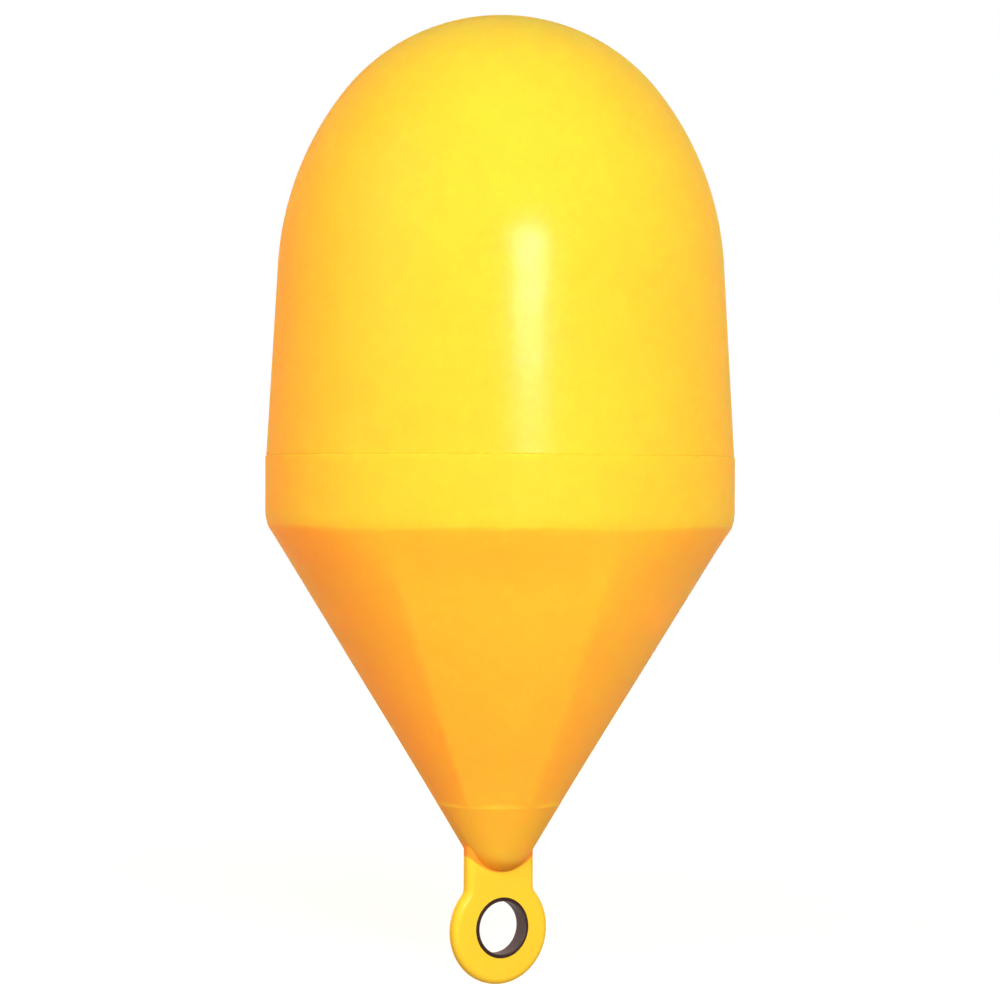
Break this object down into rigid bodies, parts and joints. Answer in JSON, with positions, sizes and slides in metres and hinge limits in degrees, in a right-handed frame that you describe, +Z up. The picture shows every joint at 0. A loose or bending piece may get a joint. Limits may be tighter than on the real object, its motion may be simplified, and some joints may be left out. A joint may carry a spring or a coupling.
{
  "type": "marker buoy",
  "caption": "Domed marker buoy with a tapered barrel, a waist band, a six-sided conical keel and a bushed mooring eye below.",
  "frame": {"origin": "on the buoy's axis at its working waterline, the lower edge of the waist band", "axes": "+Z up through the crown of the dome; +Y along the bore of the mooring eye"},
  "size_m": [0.4, 0.3998, 0.825],
  "materials": {
    "shell_yellow": "satin moulded polyethylene",
    "lug_yellow": "satin moulded polyethylene",
    "plug_yellow": "moulded",
    "bushing_dark": "worn dark plastic"
  },
  "bodies": {
    "root": {"upper_shell": "shell_yellow", "lower_shell": "shell_yellow", "filler_plug": "plug_yellow", "mooring_lug": "lug_yellow", "eye_bushing": "bushing_dark"}
  },
  "joints": []
}
